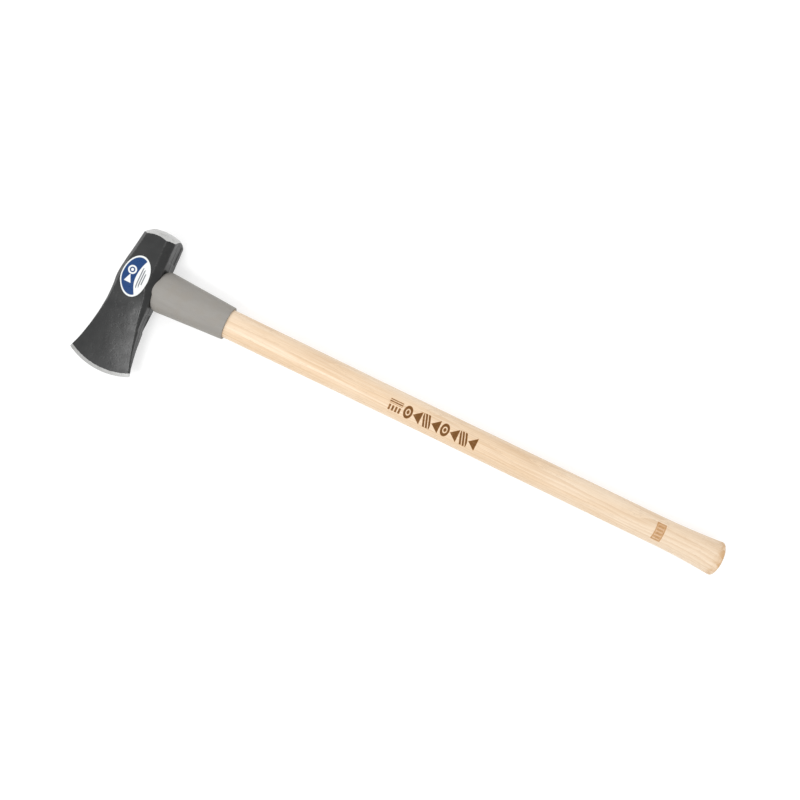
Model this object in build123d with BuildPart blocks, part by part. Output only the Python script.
"""Splitting maul: a forged head of nearly three kilograms, wedged on a long hickory handle.

The tool lies on one cheek, as it does on a bench.
+X runs along the handle from the head to the butt, +Y from the cutting edge to the poll,
and +Z stands square to the cheeks.
Everything is drawn about the centre of the eye, and the last lines move the finished
pieces so that the origin is the middle of the footprint, on the plane of the lower cheek.
Sizes are in millimetres.
"""

from math import asin, degrees, radians, sqrt, tan
import os

from build123d import *

# ---- overall sizes -------------------------------------------------------------------
handle_length = 903.0  # a 36 inch handle, trimmed at the top of the tenon after fitting
edge_reach = 134.7  # eye centre to the middle of the cutting edge
poll_reach = 75.7  # eye centre to the crown of the poll
cheek_thickness = 56.0  # across the two flat cheeks
eye_depth = 55.0  # through the head at the eye, top side to underside

# ---- side outline of the head --------------------------------------------------------
poll_draw_top = 11.0  # how far the top side draws in from the eye to the poll face
poll_draw_under = 1.9  # the same on the underside
top_bend_y = 3.0  # where the top side turns in towards the poll
top_bend_run = 14.0  # length of the easy curve, either side of that turn
toe_flare_y = -12.0  # where the top side starts its sweep out to the toe
toe_flare_radius = 270.0
seat_half_length = 32.0  # flat of the underside round the eye, either side of centre
heel_flare_radius = 323.0
edge_radius = 100.0  # curve of the cutting edge, seen from the cheek
edge_centre_x = -0.5

# ---- thickness of the blade ----------------------------------------------------------
shoulder_y = -6.0  # where the cheek leaves the flat and dives to the blade
shoulder_run = 5.6  # rounding of that edge, either side of it
swale_y = -23.0  # where the dive eases into the straight wedge of the blade
swale_half = 20.8
swale_run = 11.0
bevel_width = 5.0  # ground bevel, measured back from the cutting edge
bevel_half = 2.7  # half thickness where the bevel starts
bevel_angle = 25.0  # each side of the middle plane
edge_land = 0.8  # thickness of the blunt cutting edge itself

# ---- long corner flats that make the section an octagon ------------------------------
corner_poll = 9.5
corner_shoulder = 9.5
corner_swale = 6.5
corner_blade = 2.0
top_corner_share = 0.75  # the corner flats of the top side are this much smaller
corner_runout = -3.0  # below nothing, so the flats have run out before the edge
blade_station_y = -75.0

# ---- poll face -----------------------------------------------------------------------
poll_rim_radius = 18.5
poll_crown = 2.6  # height of the crowned striking face
poll_chamfer_angle = 39.0  # fall of the ground chamfer from the plane of the face

# ---- eye, tenon and wedges -----------------------------------------------------------
eye_under = (36.0, 26.0)  # oval of the eye at the underside: along Y, along Z
eye_top = (39.0, 28.5)  # the eye opens towards the top side
tenon_proud = 1.0  # tenon left standing above the top side
kerf_depth = 43.0
wood_wedge_top = 6.0
wood_wedge_tip = 1.0
steel_wedge_depth = 27.0
steel_wedge_width = 20.0
steel_wedge_top = 3.2
steel_wedge_tip = 0.6
steel_wedge_offset = 8.5  # each steel wedge from the middle of the eye, along Y

# ---- handle: an oval section, so each width along Y has its own height along Z --------
shoulder_width = 44.0  # where the handle meets the head
guard_end_width = 40.8
waist_width = 39.8
grip_width = 40.6
butt_width = 49.4
handle_flatness = 0.805  # height of the oval over its width
waist_x = 400.0  # from the eye centre
butt_flare = 92.0  # length over which the grip swells to the butt
butt_round = 3.0

# ---- overstrike guard: walls are measured outwards from the handle --------------------
guard_length = 105.0
guard_wall = 3.2  # at the open end
guard_side_wall = 7.4  # next to the head, at the sides that take the blows
guard_face_wall = 3.6  # next to the head, above and below
guard_seat_inset = 4.5  # the bed on the head is this much narrower at each side
guard_round = 8.0  # from the bed to the full width

# ---- head label ----------------------------------------------------------------------
label_size = (37.2, 57.0)  # along X, along Y
label_centre = (-1.1, 3.5)
label_thickness = 0.25

# ---- worked out from the sizes above -------------------------------------------------
cheek_half = cheek_thickness / 2
eye_half = eye_depth / 2
tenon_top_x = -eye_half - tenon_proud
butt_x = tenon_top_x + handle_length
poll_top_x = poll_draw_top - eye_half
poll_under_x = eye_half - poll_draw_under
guard_end_x = eye_half + guard_length
bevel_y = bevel_width - edge_reach
blade_slope = (swale_half - bevel_half) / (swale_y - bevel_y)
poll_axis_x = (poll_top_x + poll_under_x) / 2
reach = 4 * edge_radius  # long enough to pass right through the head
past_butt = 10.0  # the flare runs on this far before the butt is sawn square


def top_side_x(y):
    """Top side of the head at height y, as a distance from the middle of the eye."""
    if y > top_bend_y:
        share = (y - top_bend_y) / (poll_reach - top_bend_y)
        return eye_half + share * (-poll_top_x - eye_half)
    drop = max(0.0, toe_flare_y - y)
    return eye_half + toe_flare_radius - sqrt(toe_flare_radius**2 - drop**2)


def underside_x(y):
    """Underside of the head at height y, as a distance from the middle of the eye."""
    if y > seat_half_length:
        share = (y - seat_half_length) / (poll_reach - seat_half_length)
        return eye_half + share * (poll_under_x - eye_half)
    drop = max(0.0, -seat_half_length - y)
    return eye_half + heel_flare_radius - sqrt(heel_flare_radius**2 - drop**2)


def blade_half(y):
    """Half thickness of the straight wedge below the swale."""
    return bevel_half + blade_slope * (y - bevel_y)


def round_radius(run, before, corner, after):
    """Radius of the arc that starts and ends this run away from a corner of two lines."""
    turn = (Vector(*corner) - Vector(*before)).get_angle(Vector(*after) - Vector(*corner))
    return run / tan(radians(turn / 2))


def cheek_outline():
    """Outline of both cheeks seen along the handle: X of the sketch is the head's Y."""
    poll_end, shoulder = (poll_reach, cheek_half), (shoulder_y, cheek_half)
    swale, edge_end = (swale_y, swale_half), (-edge_reach, blade_half(-edge_reach))
    shoulder_radius = round_radius(shoulder_run, poll_end, shoulder, swale)
    swale_radius = round_radius(swale_run, shoulder, swale, edge_end)
    with BuildSketch() as outline:
        with BuildLine():
            upper = FilletPolyline(
                poll_end, shoulder, swale, edge_end, radius=[shoulder_radius, swale_radius]
            )
            Line((poll_reach, 0), upper @ 0)
            Line(upper @ 1, (-edge_reach, 0))
            mirror(about=Plane.XZ)
        make_face()
    return outline.sketch


def corner_outline():
    """Outline across two opposite corners: X of the sketch is the head's Y."""
    stations = [
        (poll_reach, cheek_half, corner_poll),
        (shoulder_y, cheek_half, corner_shoulder),
        (swale_y, swale_half, corner_swale),
        (blade_station_y, blade_half(blade_station_y), corner_blade),
        (-edge_reach, blade_half(-edge_reach), corner_runout),
    ]
    under = [(y, (underside_x(y) + half - cut) / sqrt(2)) for y, half, cut in stations]
    top = [
        (y, -(top_side_x(y) + half - top_corner_share * cut) / sqrt(2))
        for y, half, cut in stations
    ]
    with BuildSketch() as outline:
        with BuildLine():
            Polyline(*under, *reversed(top), close=True)
        make_face()
    return outline.sketch


# ---- steel wedges: two, driven across the wooden one -----------------------------------
steel_wedges = {}
for place, side in (("poll_side", 1), ("edge_side", -1)):
    with BuildPart() as steel_wedge:
        with BuildSketch(Plane.XY):
            with BuildLine():
                Polyline(
                    (tenon_top_x, side * steel_wedge_offset - steel_wedge_top / 2),
                    (tenon_top_x, side * steel_wedge_offset + steel_wedge_top / 2),
                    (tenon_top_x + steel_wedge_depth, side * steel_wedge_offset + steel_wedge_tip / 2),
                    (tenon_top_x + steel_wedge_depth, side * steel_wedge_offset - steel_wedge_tip / 2),
                    close=True,
                )
            make_face()
        extrude(amount=steel_wedge_width / 2, both=True)
    steel_wedges["steel_wedge_" + place] = steel_wedge

# ---- tenon: the part of the handle that fills the eye -----------------------------------
with BuildPart() as tenon:
    for x, section in ((tenon_top_x, eye_top), (eye_half, eye_under)):
        with BuildSketch(Plane.YZ.offset(x)):
            Ellipse(section[0] / 2, section[1] / 2)
    loft(ruled=True)

# ---- wooden wedge: fills the kerf along the long way of the eye -------------------------
with BuildPart() as wood_wedge:
    with BuildSketch(Plane.XZ):
        with BuildLine():
            Polyline(
                (tenon_top_x, -wood_wedge_top / 2),
                (tenon_top_x, wood_wedge_top / 2),
                (tenon_top_x + kerf_depth, wood_wedge_tip / 2),
                (tenon_top_x + kerf_depth, -wood_wedge_tip / 2),
                close=True,
            )
        make_face()
    extrude(amount=eye_top[0], both=True)
    add(tenon.part, mode=Mode.INTERSECT)
    for steel_wedge in steel_wedges.values():
        add(steel_wedge.part, mode=Mode.SUBTRACT)

# ---- handle: tenon, shoulder, shaft and flared butt -------------------------------------
with BuildPart() as shaft:
    with BuildSketch(Plane.XY):
        with BuildLine():
            taper = Polyline(
                (eye_half, 0),
                (eye_half, shoulder_width / 2),
                (guard_end_x, guard_end_width / 2),
                (waist_x, waist_width / 2),
                (butt_x - butt_flare, grip_width / 2),
            )
            flare = TangentArc(taper @ 1, (butt_x, butt_width / 2), tangent=(1, 0))
            run_on = Line(flare @ 1, (flare @ 1) + (flare % 1) * past_butt)
            Polyline(run_on @ 1, ((run_on @ 1).X, 0), taper @ 0)
        make_face()
    revolve(axis=Axis.X)
    scale(by=(1, 1, handle_flatness))
    split(bisect_by=Plane.YZ.offset(butt_x), keep=Keep.BOTTOM)
    fillet(faces().sort_by(Axis.X)[-1].edges(), radius=butt_round)

with BuildPart() as handle:
    add(shaft.part)
    add(tenon.part)
    add(wood_wedge.part, mode=Mode.SUBTRACT)
    for steel_wedge in steel_wedges.values():
        add(steel_wedge.part, mode=Mode.SUBTRACT)

# ---- head: four outlines in common, then the eye, the ground bevel and the poll ----------
with BuildPart() as head:
    with BuildSketch(Plane.XY):
        with BuildLine():
            seat = Line((eye_half, seat_half_length), (eye_half, -seat_half_length))
            heel_turn = degrees(asin((edge_reach - seat_half_length) / heel_flare_radius))
            heel = JernArc(seat @ 1, (0, -1), heel_flare_radius, heel_turn)
            toe_start, top_bend = (-eye_half, toe_flare_y), (-eye_half, top_bend_y)
            poll_corner = (poll_top_x, poll_reach)
            bend_radius = round_radius(top_bend_run, toe_start, top_bend, poll_corner)
            top_side = FilletPolyline(toe_start, top_bend, poll_corner, radius=bend_radius)
            toe_turn = degrees(asin((edge_reach + toe_flare_y) / toe_flare_radius))
            toe = JernArc(top_side @ 0, (0, -1), toe_flare_radius, -toe_turn)
            Line(heel @ 1, toe @ 1)
            Polyline(top_side @ 1, (poll_under_x, poll_reach), seat @ 0)
        make_face()
    extrude(amount=cheek_thickness, both=True)

    with BuildSketch(Plane.YZ):
        add(cheek_outline())
    extrude(amount=reach, both=True, mode=Mode.INTERSECT)

    for across in ((1, 0, -1), (-1, 0, -1)):
        with BuildSketch(Plane(origin=(0, 0, 0), x_dir=(0, 1, 0), z_dir=across)):
            add(corner_outline())
        extrude(amount=reach, both=True, mode=Mode.INTERSECT)

    # ground bevel: a ring with a V-shaped inside, swept round the cutting edge
    bevel_back = 3 * bevel_width
    bevel_rise = edge_land / 2 + bevel_back * tan(radians(bevel_angle))
    edge_x = edge_centre_x + edge_radius
    ring_outside = edge_x + edge_radius
    with BuildSketch(Plane.XZ.offset(edge_reach - edge_radius)):
        with BuildLine():
            Polyline(
                (edge_x - bevel_back, bevel_rise),
                (edge_x, edge_land / 2),
                (edge_x, -edge_land / 2),
                (edge_x - bevel_back, -bevel_rise),
                (edge_x - bevel_back, -cheek_thickness),
                (ring_outside, -cheek_thickness),
                (ring_outside, cheek_thickness),
                (edge_x - bevel_back, cheek_thickness),
                close=True,
            )
        make_face()
    edge_axis = Axis((edge_centre_x, edge_radius - edge_reach, 0), (0, 0, -1))
    revolve(axis=edge_axis, revolution_arc=180, mode=Mode.SUBTRACT)

    # poll: turned crown and chamfer about the middle of the poll
    chamfer_run = 6 * poll_rim_radius
    with BuildSketch(Plane.XY):
        with BuildLine():
            crown = TangentArc(
                (poll_axis_x, poll_reach),
                (poll_axis_x + poll_rim_radius, poll_reach - poll_crown),
                tangent=(1, 0),
            )
            chamfer_fall = chamfer_run * tan(radians(poll_chamfer_angle))
            Polyline(
                crown @ 1,
                (crown @ 1) + Vector(chamfer_run, -chamfer_fall),
                ((crown @ 1).X + chamfer_run, -reach),
                (poll_axis_x, -reach),
                crown @ 0,
            )
        make_face()
    revolve(axis=Axis((poll_axis_x, 0, 0), (0, 1, 0)), mode=Mode.INTERSECT)

    add(tenon.part, mode=Mode.SUBTRACT)

# ---- overstrike guard: moulded sleeve bedded on the head round the shoulder --------------
guard_y = shoulder_width / 2 + guard_side_wall
guard_z = shoulder_width / 2 * handle_flatness + guard_face_wall
open_y = guard_end_width / 2 + guard_wall
open_z = guard_end_width / 2 * handle_flatness + guard_wall
with BuildPart() as guard:
    for x, half_y, half_z in (
        (eye_half - guard_round, guard_y - guard_seat_inset, guard_z),
        (eye_half, guard_y - guard_seat_inset, guard_z),
        (eye_half + guard_round, guard_y, guard_z),
        (guard_end_x, open_y, open_z),
    ):
        with BuildSketch(Plane.YZ.offset(x)):
            Ellipse(half_y, half_z)
    loft(ruled=True)
    add(head.part, mode=Mode.SUBTRACT)
    add(tenon.part, mode=Mode.SUBTRACT)
    add(shaft.part, mode=Mode.SUBTRACT)

# ---- head label: thin oval sticker that follows the cheek --------------------------------
with BuildPart() as label:
    with BuildSketch(Plane.XY):
        with Locations(label_centre):
            Ellipse(label_size[0] / 2, label_size[1] / 2)
    extrude(amount=cheek_thickness)
    with BuildSketch(Plane.YZ):
        add(cheek_outline())
        offset(amount=label_thickness)
    extrude(amount=reach, both=True, mode=Mode.INTERSECT)
    add(head.part, mode=Mode.SUBTRACT)
    add(tenon.part, mode=Mode.SUBTRACT)

# ---- put the origin under the middle of the tool and write one file per piece -------------
pieces = {
    "head": head,
    "handle": handle,
    "wood_wedge": wood_wedge,
    "overstrike_guard": guard,
    "head_label": label,
    **steel_wedges,
}
head_box = head.part.bounding_box()
to_rest = Location(
    (
        -(head_box.min.X + butt_x) / 2,
        -(head_box.min.Y + head_box.max.Y) / 2,
        -head_box.min.Z,
    )
)
os.makedirs("parts", exist_ok=True)
for name, piece in pieces.items():
    piece.part.label = name
    piece.part.move(to_rest)
    export_step(piece.part, f"parts/{name}.step")
    print(f"{name}: {piece.part.volume / 1000:.2f} cm3")
print("eye centre:", *(round(value, 3) for value in to_rest.position))
